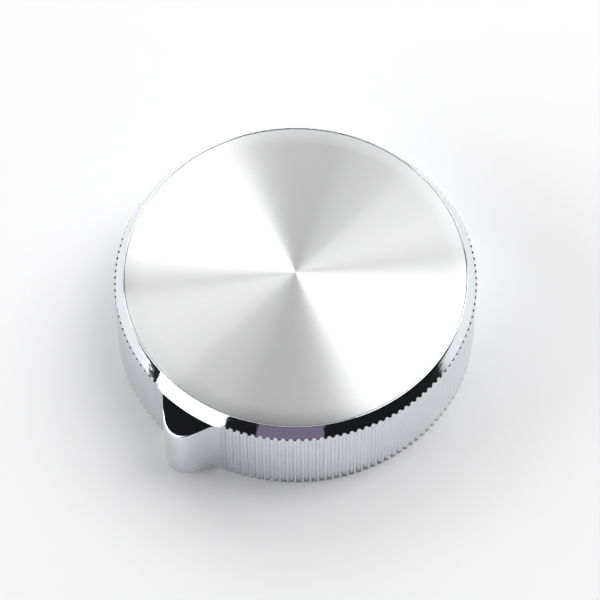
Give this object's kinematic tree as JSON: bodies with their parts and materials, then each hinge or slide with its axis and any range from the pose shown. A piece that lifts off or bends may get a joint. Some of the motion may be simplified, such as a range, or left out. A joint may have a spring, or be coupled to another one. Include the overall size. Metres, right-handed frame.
{
  "type": "dryer timer knob",
  "caption": "Round chrome timer knob with a fluted skirt, a side pointer, a spun metal face and a D-shaft hub inside.",
  "frame": {"origin": "on the knob's axis, in the plane of the skirt's open end and the mouth of the shaft socket", "axes": "+Z along the axis, out of the panel towards the face; the pointer points along -Y; +X completes a right-handed frame"},
  "size_m": [0.07, 0.0747, 0.0193],
  "materials": {
    "chrome_plating": "bright chrome plating on moulded ABS",
    "spun_metal": "fine concentric spun finish",
    "bonding_film": "double-sided acrylic film",
    "hub_plastic": "unplated moulded plastic, satin",
    "spring_steel": "blued spring steel strip"
  },
  "bodies": {
    "root": {"knob_shell": "chrome_plating", "face_disc": "spun_metal", "disc_film": "bonding_film", "hub_insert": "hub_plastic", "shaft_clip": "spring_steel"}
  },
  "joints": []
}
